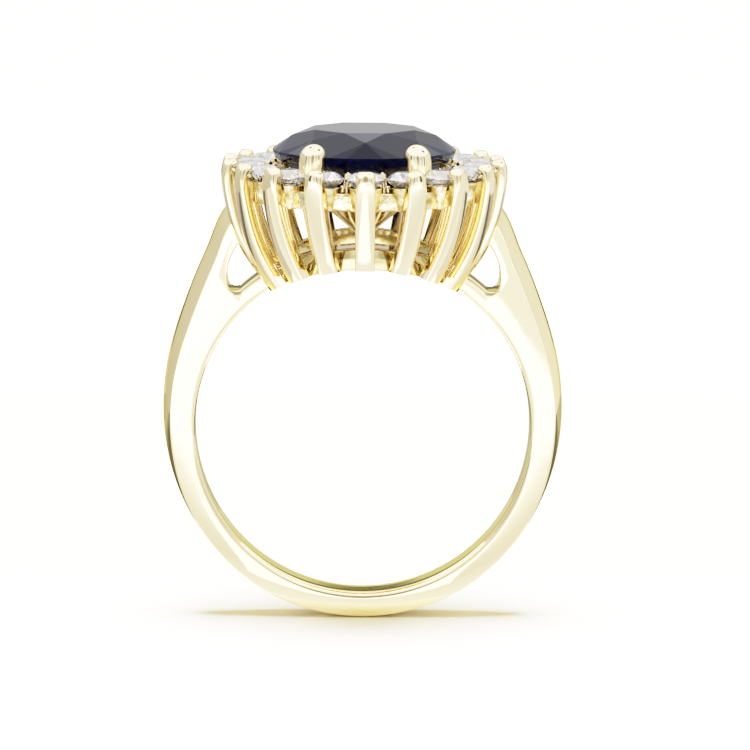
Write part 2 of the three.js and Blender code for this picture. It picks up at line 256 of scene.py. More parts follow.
def level_circle(centre, radius, z, steps):
    return level_oval(centre, radius, radius, z, steps)


def oval_normal(t, half_width, half_length):
    return oval_point(t, 1 / half_width, 1 / half_length).normalized()


def halo_normal(t):
    return oval_normal(t, HALO_HALF_WIDTH, HALO_HALF_LENGTH)


def halo_point(t, offset):
    return oval_point(t, HALO_HALF_WIDTH, HALO_HALF_LENGTH) + halo_normal(t) * offset


def halo_parameter(place):
    t = TAU * place / DIAMOND_COUNT
    return t + HALO_EASING * math.sin(2 * t)


def foot_point(t, offset):
    foot = oval_point(t, FOOT_HALF_WIDTH, FOOT_HALF_LENGTH)
    foot.x = max(-FOOT_FLAT, min(FOOT_FLAT, foot.x))
    return foot + halo_normal(t) * offset


def height_on_cylinder(radius, x):
    return math.sqrt(radius ** 2 - x ** 2)


def point_on_sweep(point, s):
    """A point at share s of the way from a claw's tip, 0, down to its foot on the finger hole, 1."""
    foot = height_on_cylinder(FOOT_RADIUS, point.x)
    return Vector((point.x, point.y, lerp(CLAW_TIP_Z, foot, s)))


def basket_face(t, s, offset=0.0):
    top = halo_point(t, CLAW_FACE_OFFSET + offset)
    return top.lerp(foot_point(t, offset), s ** CLAW_SWEEP)


# Materials

def principled(name):
    material = bpy.data.materials.new(name)
    material.use_nodes = True
    nodes, links = material.node_tree.nodes, material.node_tree.links
    return material, nodes, links, nodes["Principled BSDF"]


def noise_node(nodes, links, scale, detail, stretch=(1, 1, 1)):
    """A noise texture fixed to the object, scale in repeats per millimetre."""
    where = nodes.new("ShaderNodeTexCoord")
    mapping = nodes.new("ShaderNodeMapping")
    mapping.inputs["Scale"].default_value = [s / MM for s in stretch]
    noise = nodes.new("ShaderNodeTexNoise")
    noise.inputs["Scale"].default_value = scale
    noise.inputs["Detail"].default_value = detail
    links.new(where.outputs["Object"], mapping.inputs["Vector"])
    links.new(mapping.outputs["Vector"], noise.inputs["Vector"])
    return noise


def spread(nodes, links, source, low, high):
    """A value from low to high as the source goes from 0.3 to 0.7."""
    scale = nodes.new("ShaderNodeMapRange")
    scale.inputs["From Min"].default_value = 0.3
    scale.inputs["From Max"].default_value = 0.7
    scale.inputs["To Min"].default_value = low
    scale.inputs["To Max"].default_value = high
    links.new(source, scale.inputs["Value"])
    return scale.outputs["Result"]


def tint(nodes, links, shader, noise, first, second):
    """Takes the base colour from one tone to another as the noise rises."""
    ramp = nodes.new("ShaderNodeValToRGB")
    ramp.color_ramp.elements[0].color = (*first, 1)
    ramp.color_ramp.elements[1].color = (*second, 1)
    links.new(noise.outputs["Fac"], ramp.inputs["Fac"])
    links.new(ramp.outputs["Color"], shader.inputs["Base Color"])
    return ramp


def gold_material(name, roughness, waviness, painted_brightness=1.0, blue=0.42, edge_blue=0.7, carved_and_shaded=False):
    """Yellow gold: a slightly wavy hand-finished surface with faint polishing marks; a brightness below 1
    darkens the base colour as painted shade, and the carved option adds patches of painted shade.
    """
    material, nodes, links, shader = principled(name)
    shader.inputs["Metallic"].default_value = 1
    shader.inputs["Specular Tint"].default_value = (0.96, 0.9, edge_blue, 1)
    tone = noise_node(nodes, links, 2.4 if carved_and_shaded else 0.35, 2)
    bright = (0.98 * painted_brightness, 0.83 * painted_brightness, (blue + 0.07) * painted_brightness)
    if carved_and_shaded:  # tool marks, and dark patches of painted shade that stand for shaded recesses
        ramp = tint(nodes, links, shader, tone, (0.42, 0.31, 0.09), bright)
        ramp.color_ramp.elements[0].position = 0.38
        ramp.color_ramp.elements[1].position = 0.56
    else:
        tint(nodes, links, shader, tone, (0.95 * painted_brightness, 0.78 * painted_brightness, blue * painted_brightness), bright)
    marks = noise_node(nodes, links, 6, 4, (1, 0.25, 1))
    links.new(spread(nodes, links, marks.outputs["Fac"], *roughness), shader.inputs["Roughness"])
    waves = noise_node(nodes, links, 2.6 if carved_and_shaded else 1.1, 2)
    bump = nodes.new("ShaderNodeBump")
    bump.inputs["Strength"].default_value = waviness
    bump.inputs["Distance"].default_value = 0.05 * MM
    links.new(waves.outputs["Fac"], bump.inputs["Height"])
    links.new(bump.outputs["Normal"], shader.inputs["Normal"])
    return material


def sapphire_material():
    """Very dark blue with faint zoning; its index and reflections are below corundum's, to keep it dark."""
    material, nodes, links, shader = principled("sapphire_blue")
    zoning = noise_node(nodes, links, 0.5, 1, (1, 0.4, 1))
    tint(nodes, links, shader, zoning, (0.0015, 0.002, 0.012), (0.003, 0.004, 0.036))
    shader.inputs["Transmission Weight"].default_value = 0.85
    shader.inputs["IOR"].default_value = 1.22
    shader.inputs["Specular Tint"].default_value = (0.06, 0.06, 0.07, 1)
    shader.inputs["Roughness"].default_value = 0.01
    return material


def diamond_material():
    """Near colourless diamond, a breath warmer and cooler from place to place."""
    material, nodes, links, shader = principled("diamond_clear")
    cloud = noise_node(nodes, links, 0.6, 1)
    tint(nodes, links, shader, cloud, (0.92, 0.92, 0.97), (0.97, 0.97, 0.98))
    shader.inputs["Transmission Weight"].default_value = 0.9
    shader.inputs["IOR"].default_value = 2.417
    shader.inputs["Roughness"].default_value = 0
    return material


def floor_material():
    """Smooth white card with a low sheen."""
    material, nodes, links, shader = principled("white_card")
    fibre = noise_node(nodes, links, 0.8, 3)
    tint(nodes, links, shader, fibre, (0.90, 0.90, 0.90), (0.93, 0.93, 0.93))
    shader.inputs["Roughness"].default_value = 0.12
    shader.inputs["Specular IOR Level"].default_value = 0.02
    return material


band_gold = gold_material("gold_band", (0.035, 0.075), 0.05, edge_blue=0.4)
claw_gold = gold_material("gold_claws", (0.06, 0.12), 0.10, blue=0.44, edge_blue=0.85)
# painted shade: the gallery's base colour is darkened to stand for the shade under the head
gallery_gold_shaded = gold_material("gold_gallery", (0.08, 0.16), 0.20, painted_brightness=0.62, blue=0.34)
# painted shade: the halo's base colour is darkened a little, with darker noise patches painted as the shade
# of its recesses
carved_halo_gold_shaded = gold_material("gold_halo", (0.08, 0.20), 0.9, painted_brightness=0.85, carved_and_shaded=True)
sapphire = sapphire_material()
diamond = diamond_material()


# Shank: a comfort-fit band, deeper and more domed towards the shoulders, open between its two arms

DEGREES_FROM_BOTTOM = (0, 60, 90, 110, 125, 138, 150, 180)
BAND_DEPTHS = (1.25, 1.34, 1.57, 1.95, 2.48, 3.38, 4.65, 4.65)
DOME_HEIGHTS = (0.05, 0.12, 0.35, 0.5, 0.6, 0.65, 0.65, 0.65)
SHANK_STEPS = 288


def smooth_between(stops, values, x):
    """A smooth curve through the values, flat at both ends."""
    slopes = [0.0]
    for i in range(1, len(stops) - 1):
        slopes.append((values[i + 1] - values[i - 1]) / (stops[i + 1] - stops[i - 1]))
    slopes.append(0.0)
    i = max(k for k in range(len(stops) - 1) if stops[k] <= x)
    span = stops[i + 1] - stops[i]
    u = (x - stops[i]) / span
    return ((2 * u ** 3 - 3 * u ** 2 + 1) * values[i] + (u ** 3 - 2 * u ** 2 + u) * span * slopes[i]
            + (3 * u ** 2 - 2 * u ** 3) * values[i + 1] + (u ** 3 - u ** 2) * span * slopes[i + 1])


def shank_half_section(ridge, dome):
    """Points (y, radius) of the +Y half, from the middle of the inside to the middle of the outside."""
    half = BAND_WIDTH / 2
    inside = [(share * (half - COMFORT_RADIUS), BORE_RADIUS) for share in (0, 0.5)]
    for i in range(7):
        turn = i / 6 * math.pi / 2
        y = half - COMFORT_RADIUS * (1 - math.sin(turn))
        inside.append((y, BORE_RADIUS + COMFORT_RADIUS * (1 - math.cos(turn))))
    corner = Vector((half, ridge - dome))
    slope = Vector((-1, 2 * dome / half)).normalized()
    before = corner - Vector((0, EDGE_ROUNDING))
    after = corner + slope * EDGE_ROUNDING
    rounded = []
    for i in range(5):
        u = i / 4
        rounded.append(tuple(before * (1 - u) ** 2 + corner * 2 * u * (1 - u) + after * u ** 2))
    face_middle = (half, (BORE_RADIUS + COMFORT_RADIUS + ridge - dome) / 2)
    outside = []
    for i in range(1, 11):
        y = after.x * (1 - i / 10)
        outside.append((y, ridge - dome * (y / half) ** 2))
    return [*inside, face_middle, *rounded, *outside]


def shank_section(degrees):
    from_bottom = min(degrees, 360 - degrees)
    ridge = BORE_RADIUS + smooth_between(DEGREES_FROM_BOTTOM, BAND_DEPTHS, from_bottom)
    dome = smooth_between(DEGREES_FROM_BOTTOM, DOME_HEIGHTS, from_bottom)
    half = shank_half_section(ridge, dome)
    outline = half + [(-y, radius) for y, radius in half[-2:0:-1]]
    angle = math.radians(degrees)
    return [(r * math.sin(angle), y, -r * math.cos(angle)) for y, r in outline]


def bezier(a, b, c, d, steps):
    points = []
    for i in range(steps):
        u = i / steps
        v = 1 - u
        points.append(a * v ** 3 + b * 3 * u * v ** 2 + c * 3 * u ** 2 * v + d * u ** 3)
    return points


def shoulder_gap_outline():
    """The gap between a shoulder's arms on the +X side, seen along the finger, from its top outwards."""
    top, heel = Vector((5.95, 9.35)), Vector((6.7, 7.35))
    toe = Vector((6.1, 6.78))
    nose = Vector((6.66, 6.62))
    outline = bezier(top, Vector((6.4, 8.75)), Vector((6.75, 8.1)), heel, 20)
    outline += bezier(heel, heel.lerp(nose, 2 / 3), toe.lerp(nose, 2 / 3), toe, 16)
    radius = toe.length
    start, end = math.atan2(toe.y, toe.x), math.atan2(8.3, 3.8)
    for i in range(25):
        angle = lerp(start, end, i / 24)
        outline.append(Vector((radius * math.cos(angle), radius * math.sin(angle))))
    outline.append(Vector((3.8, 9.35)))
    return outline


def grow_outline(outline, distance):
    """Moves each point of a loop outwards, square to its neighbours."""
    grown = []
    for i, point in enumerate(outline):
        along = (outline[(i + 1) % len(outline)] - outline[i - 1]).normalized()
        grown.append(point + Vector((along.y, -along.x)) * distance)
    return grown


def shoulder_gap(side):
    """Cutter for the gap, flared at both faces so that the gap's edges are rounded."""
    outline = shoulder_gap_outline()
    area = sum(a.x * b.y - b.x * a.y for a, b in zip(outline, outline[1:] + outline[:1]))
    outward = 1 if area > 0 else -1
    half = BAND_WIDTH / 2
    rounding = GAP_EDGE_ROUNDING
    flares = []
    for i in range(5):
        turn = i / 4 * math.pi / 2
        flares.append((half - rounding * (1 - math.cos(turn)), rounding * (1 - math.sin(turn))))
    depths = [(half + 0.5, rounding)] + flares
    sections = []
    for y, flare in depths + [(-y, flare) for y, flare in depths[::-1]]:
        sections.append([(side * p.x, y, p.y) for p in grow_outline(outline, outward * flare)])
    return add_object("gap", *loft(sections))


def basket_envelope(offset):
    """The outer surface of the claws' basket as one solid, carried on below the claws' feet."""
    sections = []
    for i in range(29):
        s = i / 24
        ring = []
        for j in range(108):
            ring.append(point_on_sweep(basket_face(TAU * j / 108, min(1.0, s), offset), s))
        sections.append(ring)
    return add_object("envelope", *loft(sections))


def build_shank():
    sections = [shank_section(360 * i / SHANK_STEPS) for i in range(SHANK_STEPS)]
    piece = add_object("ring_shank", *loft(sections, ring=True))
    for side in (1, -1):
        cut(piece, shoulder_gap(side))
    cut(piece, basket_envelope(-SHANK_OVERLAP))
    return finish_piece(piece, band_gold, ["shank"])


# Claws

def rounded_rectangle(half_u, low_v, high_v, corner, steps=5, bulge=0.0):
    """Points (u, v) round a rectangle with round corners, from the +u +v one; the +v side can bulge."""
    corner = min(corner, half_u, (high_v - low_v) / 2)
    outline = []
    for quarter, (su, sv) in enumerate(((1, 1), (-1, 1), (-1, -1), (1, -1))):
        cu = su * (half_u - corner)
        cv = (high_v - corner) if sv > 0 else (low_v + corner)
        for i in range(steps):
            angle = (quarter + i / (steps - 1)) * math.pi / 2
            outline.append((cu + corner * math.cos(angle), cv + corner * math.sin(angle)))
        if quarter == 0 and bulge:
            outline += [((half_u - corner) * (1 - i / 4), high_v) for i in range(1, 8)]
    middle = (low_v + high_v) / 2
    return [(u, v - bulge * (u / half_u) ** 2 if v > middle else v) for u, v in outline]


def rounded_polygon(corners, rounding, steps=4):
    """Points round a convex polygon whose corners are rounded off."""
    outline = []
    for i, corner in enumerate(corners):
        corner = Vector(corner)
        before = Vector(corners[i - 1])
        after = Vector(corners[(i + 1) % len(corners)])
        start = corner + (before - corner).normalized() * rounding
        end = corner + (after - corner).normalized() * rounding
        for j in range(steps + 1):
            u = j / steps
            outline.append(tuple(start * (1 - u) ** 2 + corner * 2 * u * (1 - u) + end * u ** 2))
    return outline


def diamond_reach(z):
    """How far a diamond reaches from its axis at height z."""
    above = z - DIAMOND_GIRDLE_Z
    if above > 0:
        return DIAMOND_RADIUS * (1 - 0.45 * above / DIAMOND_CROWN)
    return DIAMOND_RADIUS * (1 + above / DIAMOND_PAVILION)


def outer_claw_section(t, s):
    """A claw's section at share s of its height below the tip."""
    normal = halo_normal(t)
    along = Vector((-normal.y, normal.x))
    face = basket_face(t, s)
    z = point_on_sweep(face, s).z
    below = CLAW_TIP_Z - z
    depth = lerp(CLAW_TOP_DEPTH, CLAW_FOOT_DEPTH, s)
    lean, width, edge = 0.0, CLAW_WIDTH / 2, CLAW_EDGE
    if below < CLAW_TIP_HEIGHT:
        rise = 1 - below / CLAW_TIP_HEIGHT
        lean = CLAW_TIP_LEAN * (1 - math.sqrt(1 - rise ** 2.6))
        edge = lerp(CLAW_EDGE, CLAW_TIP_EDGE, rise ** 1.5)
    if below < CLAW_TIP_SHOULDER:
        rise = 1 - below / CLAW_TIP_SHOULDER
        width -= CLAW_TIP_SHOULDER * (1 - math.sqrt(max(0, 1 - rise ** 2)))
    inner = max(CLAW_FACE_OFFSET - depth, diamond_reach(z) + CLAW_TO_DIAMOND) - CLAW_FACE_OFFSET
    inner = min(inner, -lean - 0.05) if s < 0.5 else -depth
    if below < CLAW_TIP_ROUNDING:
        rise = 1 - below / CLAW_TIP_ROUNDING
        inner += 0.22 * (1 - math.sqrt(1 - rise ** 2))
    points = []
    for u, v in rounded_rectangle(width, inner, -lean, edge, bulge=CLAW_CROWNING):
        points.append(point_on_sweep(face + along * u + normal * v, s))
    return points


def build_outer_claw(place):
    t = halo_parameter(place)
    shares = [0.1 * (i / 16) ** 2 for i in range(16)] + [0.1 + 0.9 * i / 32 for i in range(33)]
    sections = [outer_claw_section(t, s) for s in shares]
    number = f"{place + 1:02d}"
    piece = add_object(f"halo_claw_{number}", *loft(sections))
    return finish_piece(piece, claw_gold, [f"outer_claw_{number}"])


def build_centre_claw(name, t):
    normal = oval_normal(t, STONE_HALF_WIDTH, STONE_HALF_LENGTH)
    edge = oval_point(t, STONE_HALF_WIDTH, STONE_HALF_LENGTH)
    foot = foot_point(t, -CLAW_FOOT_DEPTH - GALLERY_WIDTH / 2)
    bend = edge + normal * CENTRE_CLAW_BEND_OFFSET
    tip = edge + normal * CENTRE_CLAW_TIP_OFFSET
    a = Vector((foot.x, foot.y, height_on_cylinder(GALLERY_TOP_RADIUS - 0.1, foot.x)))
    b = Vector((bend.x, bend.y, CENTRE_CLAW_BEND_Z))
    c = Vector((tip.x, tip.y, CENTRE_CLAW_TOP_Z))
    sections = []
    for i in range(45):
        along = 1 - (1 - i / 44) ** 1.6
        centre = a * (1 - along) ** 2 + b * 2 * along * (1 - along) + c * along ** 2
        below = CENTRE_CLAW_TOP_Z - centre.z
        radius = lerp(CENTRE_CLAW_FOOT_RADIUS, CENTRE_CLAW_RADIUS, min(1, along / 0.6))
        if below < CENTRE_CLAW_RADIUS:
            radius *= math.sqrt(max(0.0004, 1 - (1 - below / CENTRE_CLAW_RADIUS) ** 2))
        sections.append(level_circle(centre, radius, centre.z, 28))
    piece = add_object(f"stone_claw_{name}", *loft(sections))
    return finish_piece(piece, claw_gold, [f"centre_claw_{name}"])


# Gallery and halo

def build_gallery():
    half = GALLERY_WIDTH / 2
    outline = rounded_polygon([
        (-half, FOOT_RADIUS), (half, FOOT_RADIUS), (half, BRIDGE_TOP_RADIUS - 0.02),
        (half - 0.1, GALLERY_TOP_RADIUS), (-half, GALLERY_TOP_RADIUS)], 0.07)
    sections = []
    for i in range(144):
        t = TAU * i / 144
        ring = []
        for u, radius in outline:
            flat = foot_point(t, -CLAW_FOOT_DEPTH - half + u)
            ring.append((flat.x, flat.y, height_on_cylinder(radius, flat.x)))
        sections.append(ring)
    piece = add_object("gallery_rail", *loft(sections, ring=True))
    return finish_piece(piece, gallery_gold_shaded, ["lower_gallery"])


def build_bridge():
    outline = rounded_rectangle(BAND_WIDTH / 2, FOOT_RADIUS, BRIDGE_TOP_RADIUS, 0.08)
    sections = []
    for i in range(41):
        angle = lerp(-BRIDGE_HALF_ANGLE, BRIDGE_HALF_ANGLE, i / 40)
        sections.append([(r * math.sin(angle), y, r * math.cos(angle)) for y, r in outline])
    return finish_piece(add_object("gallery_bridge", *loft(sections)), claw_gold)


def build_halo_rail():
    sections = []
    for i in range(216):
        t = TAU * i / 216
        ring = []
        for u, z in rounded_rectangle(RAIL_HALF_WIDTH, RAIL_BOTTOM_Z, RAIL_TOP_Z, 0.12):
            flat = halo_point(t, u - RAIL_INSET)
            ring.append((flat.x, flat.y, z))
        sections.append(ring)
    piece = add_object("halo_gallery", *loft(sections, ring=True))
    profile = [
        (RAIL_BOTTOM_Z - 0.2, SEAT_HOLE_RADIUS), (RAIL_TOP_Z - 0.3, SEAT_HOLE_RADIUS),
        (RAIL_TOP_Z + 0.3, SEAT_MOUTH_RADIUS),
    ]
    for place in range(DIAMOND_COUNT):
        centre = halo_point(halo_parameter(place), 0)
        cone = []
        for z, radius in profile:
            cone.append(level_circle(centre, radius, z, 32))
        cut(piece, add_object("seat", *loft(cone)))
    return finish_piece(piece, carved_halo_gold_shaded, ["halo_rail"])


def build_cup(place):
    """The cone-shaped seat below a diamond, with a bright-cut rim."""
    centre = halo_point(halo_parameter(place), 0)
    profile = [
        (0.60, RAIL_BOTTOM_Z - 0.02), (0.66, RAIL_BOTTOM_Z + 0.02), (0.70, RAIL_BOTTOM_Z + 0.14),
        (0.74, RAIL_BOTTOM_Z + 0.4), (0.80, RAIL_TOP_Z - 0.12), (0.86, RAIL_TOP_Z + 0.1),
        (0.89, CUP_TOP_Z - 0.03), (0.86, CUP_TOP_Z), (0.74, CUP_TOP_Z - 0.02),
        (0.42, CUP_TOP_Z - 0.36), (0.36, CUP_TOP_Z - 0.5), (0.36, RAIL_BOTTOM_Z),
    ]
    sections = []
    for radius, z in profile:
        sections.append(level_circle(centre, radius, z, 40))
    piece = add_object(f"diamond_cup_{place + 1:02d}", *loft(sections, ring=True))
    return finish_piece(piece, carved_halo_gold_shaded)


def build_seat():
    """The cone of gold that the sapphire's point sits in."""
    height = STONE_GIRDLE_Z - STONE_CULET_Z
    bulge, depth = PAVILION_BULGE[-1]
    widening = bulge * height / (height - depth)
    foot, top = SEAT_SHARES
    sections = []
    for share, wall in ((foot, 0), (foot, SEAT_WALL), (top, SEAT_WALL), (top, 0)):
        reach = share * widening + SEAT_GAP + wall
        z = STONE_CULET_Z + height * share
        sections.append(level_oval(MIDDLE, STONE_HALF_WIDTH * reach, STONE_HALF_LENGTH * reach, z, 72))
    piece = add_object("sapphire_seat", *loft(sections, ring=True))
    return finish_piece(piece, claw_gold)


def build_bead(place):
    """A bead prong leaning in from the halo's inner edge over two diamonds."""
    t = halo_parameter(place)
    root, top = halo_point(t, BEAD_ROOT_OFFSET), halo_point(t, BEAD_TOP_OFFSET)
    sections = []
    for i in range(17):
        along = i / 16
        z = lerp(RAIL_BOTTOM_Z + 0.4, BEAD_TOP_Z, along)
        centre = root.lerp(top, min(1, along / 0.85))
        radius = BEAD_RADIUS
        if BEAD_TOP_Z - z < BEAD_RADIUS:
            radius *= math.sqrt(max(0.01, 1 - (1 - (BEAD_TOP_Z - z) / BEAD_RADIUS) ** 2))
        sections.append(level_circle(centre, radius, z, 16))
    name = f"bead_prong_{int(place + 0.5):02d}"
    return finish_piece(add_object(name, *loft(sections)), claw_gold)


# Stones

def brilliant_points(half_width, half_length, girdle_z, crown, pavilion, girdle, shares, turn):
    """Corners of a brilliant cut, with its table, star and lower corners at these shares of its width."""
    table, star, lower = shares

    def at(angle, share, z):
        flat = oval_point(angle + turn, half_width * share, half_length * share)
        return Vector((flat.x, flat.y, girdle_z + z))

    eighth = TAU / 8
    kite = math.cos(eighth / 2)
    points = [at(0, 0, -pavilion)]
    for i in range(8):
        points.append(at(eighth * i, table, crown))
        star_z = lerp(girdle / 2, crown, (1 - star * kite) / (1 - table))
        points.append(at(eighth * (i + 0.5), star, star_z))
        points.append(at(eighth * (i + 0.5), lower, -lerp(pavilion, girdle / 2, lower * kite)))
    for i in range(32):
        points.append(at(TAU * i / 32, 1, girdle / 2))
        points.append(at(TAU * i / 32, 1, -girdle / 2))
    return points


def build_sapphire():
    points = brilliant_points(
        STONE_HALF_WIDTH, STONE_HALF_LENGTH, STONE_GIRDLE_Z, STONE_TABLE_Z - STONE_GIRDLE_Z,
        STONE_GIRDLE_Z - STONE_CULET_Z, STONE_GIRDLE_HEIGHT,
        (STONE_TABLE_SHARE, STONE_STAR_SHARE, STONE_LOWER_SHARE), TAU / 16)
    for share, depth in PAVILION_BULGE:
        for i in range(16):
            flat = oval_point(TAU * i / 16, STONE_HALF_WIDTH, STONE_HALF_LENGTH) * share
            points.append(Vector((flat.x, flat.y, STONE_GIRDLE_Z - depth)))
    piece = hull_object("oval_sapphire", points)
    return finish_piece(piece, sapphire, ["centre_sapphire"], sharp_degrees=0)


def build_diamond(place):
    t = halo_parameter(place)
    number = f"{place + 1:02d}"
    points = brilliant_points(
        DIAMOND_RADIUS, DIAMOND_RADIUS, DIAMOND_GIRDLE_Z, DIAMOND_CROWN,
        DIAMOND_PAVILION, DIAMOND_GIRDLE_HEIGHT,
        (DIAMOND_TABLE_SHARE, DIAMOND_STAR_SHARE, DIAMOND_LOWER_SHARE), t)
    centre = halo_point(t, 0)
    piece = hull_object(f"round_diamond_{number}", [p + Vector((centre.x, centre.y, 0)) for p in points])
    return finish_piece(piece, diamond, [f"halo_diamond_{number}"], sharp_degrees=0)


# Camera, floor and lights

CAMERA_PLACE = Vector((-2.37, -250, 37.1))
CAMERA_TURN = (-0.68, 7.89, 0.38)  # yaw to the left, pitch downwards and roll, in degrees
CAMERA_LENS = 245.3


def build_camera():
    """A long lens a little to the left of the ring's axis, looking slightly down."""
    yaw, pitch, roll = (math.radians(angle) for angle in CAMERA_TURN)
    forward = Vector((
        -math.sin(yaw) * math.cos(pitch), math.cos(yaw) * math.cos(pitch), -math.sin(pitch)))
    level = forward.cross(Vector((0, 0, 1))).normalized()
    upright = level.cross(forward)
    right = level * math.cos(roll) + upright * math.sin(roll)
    up = upright * math.cos(roll) - level * math.sin(roll)
    data = bpy.data.cameras.new("camera")
    data.lens = CAMERA_LENS
    data.sensor_width = 36
    data.clip_start, data.clip_end = 0.01, 10
    camera = bpy.data.objects.new("camera", data)
    rotation = Matrix((right, up, -forward)).transposed()
    camera.matrix_world = Matrix.Translation(CAMERA_PLACE * MM) @ rotation.to_4x4()
    bpy.context.scene.collection.objects.link(camera)
    bpy.context.scene.camera = camera


FLOOR_HALF_WIDTH = 1500


def build_floor():
    half, z = FLOOR_HALF_WIDTH, shank_low.z - 0.01
    vertices = [(-half, -half, z), (half, -half, z), (half, half, z), (-half, half, z)]
    floor = add_object("floor", vertices, [(0, 1, 2, 3)])
    floor.data.transform(Matrix.Scale(MM, 4))
    floor.data.materials.append(floor_material())


def glow_card(name, corners, axis, start, end, stops):
    """A card that only reflections and refractions see, its glow graded along an axis, start to end."""
    card = add_object(name, corners, [(0, 1, 2, 3)])
    card.data.transform(Matrix.Scale(MM, 4))
    material = bpy.data.materials.new(name)
    material.use_nodes = True
    nodes, links = material.node_tree.nodes, material.node_tree.links
    nodes.clear()
    where = nodes.new("ShaderNodeTexCoord")
    split = nodes.new("ShaderNodeSeparateXYZ")
    fade = nodes.new("ShaderNodeMapRange")
    fade.inputs["From Min"].default_value = start * MM
    fade.inputs["From Max"].default_value = end * MM
    ramp = nodes.new("ShaderNodeValToRGB")
    set_stops(ramp, stops)
    glow = nodes.new("ShaderNodeEmission")
    output = nodes.new("ShaderNodeOutputMaterial")
    links.new(where.outputs["Object"], split.inputs["Vector"])
    links.new(split.outputs[axis], fade.inputs["Value"])
    links.new(fade.outputs["Result"], ramp.inputs["Fac"])
    links.new(ramp.outputs["Color"], glow.inputs["Color"])
    links.new(glow.outputs["Emission"], output.inputs["Surface"])
    card.data.materials.append(material)
    card.visible_camera = False
    card.visible_diffuse = False
    card.visible_shadow = False


def flat_card(name, low, high, axis, start, end, stops):
    """A glow card that fills a flat box between two corners."""
    flat = min(range(3), key=lambda i: abs(high[i] - low[i]))
    one, two = [i for i in range(3) if i != flat]
    corners = []
    for first, second in ((low, low), (high, low), (high, high), (low, high)):
        corner = list(low)
        corner[one], corner[two] = first[one], second[two]
        corners.append(corner)
    glow_card(name, corners, axis, start, end, stops)


def set_stops(ramp, stops):
    """Fills a colour ramp with grey levels; a level above 1 is a bright light."""
    elements = ramp.color_ramp.elements
    while len(elements) < len(stops):
        elements.new(0.5)
    for element, (position, level) in zip(elements, stops):
        element.position = position
        element.color = (level, level, level, 1)


# Levels from straight down, 0, through the horizon, 0.5, to straight up
SKY_STOPS = [(0.0, 2.4), (0.5, 2.4), (0.6, 2.6), (0.75, 2.9), (1.0, 2.9)]
BACKDROP_LEVEL = 5  # white, as the camera sees it
GOLDEN_FILL = (1.15, 0.95, 0.42)  # what matt surfaces see: it stands in for the light that gold throws
# Dark patches of the studio: direction, squeeze along Z, inner and outer angle in degrees, level
DARK_PATCHES = [
    ((0, -1, 0.3), 0.6, 5, 22, 0.5),
    ((0.54, -0.84, 0.3), 0.6, 2, 18, 0.9),
    ((-0.54, -0.84, 0.3), 0.6, 2, 18, 0.9),
    ((0.55, 0.1, 0.8), 1.0, 5, 13, 0.1),
    ((-0.25, 0.4, 0.85), 1.0, 4, 11, 0.1),
    ((0.83, -0.56, 0.2), 0.25, 4, 8, 0.06),
    ((-0.83, -0.56, 0.2), 0.25, 4, 8, 0.06),
]


def add_dark_patch(nodes, links, where, colour, direction, share, inner, outer, level):
    """The colour with a patch darkened round one direction; a small share makes the patch tall."""
    squeeze = nodes.new("ShaderNodeVectorMath")
    squeeze.operation = "MULTIPLY"
    squeeze.inputs[1].default_value = (1, 1, share)
    unit = nodes.new("ShaderNodeVectorMath")
    unit.operation = "NORMALIZE"
    facing = nodes.new("ShaderNodeVectorMath")
    facing.operation = "DOT_PRODUCT"
    x, y, z = direction
    facing.inputs[1].default_value = Vector((x, y, z * share)).normalized()
    edge = nodes.new("ShaderNodeMapRange")
    edge.interpolation_type = "SMOOTHSTEP"
    edge.inputs["From Min"].default_value = math.cos(math.radians(outer))
    edge.inputs["From Max"].default_value = math.cos(math.radians(inner))
    patch = nodes.new("ShaderNodeMixRGB")
    patch.inputs["Color2"].default_value = (level, level, level, 1)
    links.new(where.outputs["Generated"], squeeze.inputs[0])
    links.new(squeeze.outputs["Vector"], unit.inputs[0])
    links.new(unit.outputs["Vector"], facing.inputs[0])
    links.new(facing.outputs["Value"], edge.inputs["Value"])
    links.new(edge.outputs["Result"], patch.inputs["Fac"])
    links.new(colour, patch.inputs["Color1"])
    return patch.outputs["Color"]


def build_world():
    """A pale studio: white to the camera, golden to matt surfaces, patched with dark for reflections."""
    world = bpy.data.worlds.new("studio")
    world.use_nodes = True
    nodes, links = world.node_tree.nodes, world.node_tree.links
    where = nodes.new("ShaderNodeTexCoord")
    split = nodes.new("ShaderNodeSeparateXYZ")
    ramp = nodes.new("ShaderNodeValToRGB")
    set_stops(ramp, SKY_STOPS)
    half = nodes.new("ShaderNodeMath")
    half.operation = "MULTIPLY_ADD"
    half.inputs[1].default_value = 0.5
    half.inputs[2].default_value = 0.5
    links.new(where.outputs["Generated"], split.inputs["Vector"])
    links.new(split.outputs["Z"], half.inputs[0])
    links.new(half.outputs["Value"], ramp.inputs["Fac"])
    colour = ramp.outputs["Color"]
    for dark in DARK_PATCHES:
        colour = add_dark_patch(nodes, links, where, colour, *dark)
    seen = nodes.new("ShaderNodeLightPath")
    warm = nodes.new("ShaderNodeMixRGB")
    warm.inputs["Color2"].default_value = (*GOLDEN_FILL, 1)
    links.new(seen.outputs["Is Diffuse Ray"], warm.inputs["Fac"])
    links.new(colour, warm.inputs["Color1"])
    colour = warm.outputs["Color"]
    mix = nodes.new("ShaderNodeMixRGB")
    mix.inputs["Color2"].default_value = (BACKDROP_LEVEL, BACKDROP_LEVEL, BACKDROP_LEVEL, 1)
    links.new(seen.outputs["Is Camera Ray"], mix.inputs["Fac"])
    links.new(colour, mix.inputs["Color1"])
    links.new(mix.outputs["Color"], nodes["Background"].inputs["Color"])
    bpy.context.scene.world = world


# How light turns into brightness: straight in the shadows, with a soft shoulder up to white
RESPONSE = [
    (0, 0), (0.25, 0.24), (0.5, 0.44), (0.75, 0.60), (1, 0.72),
    (1.5, 0.85), (2, 0.92), (3, 0.985), (4, 1),
]


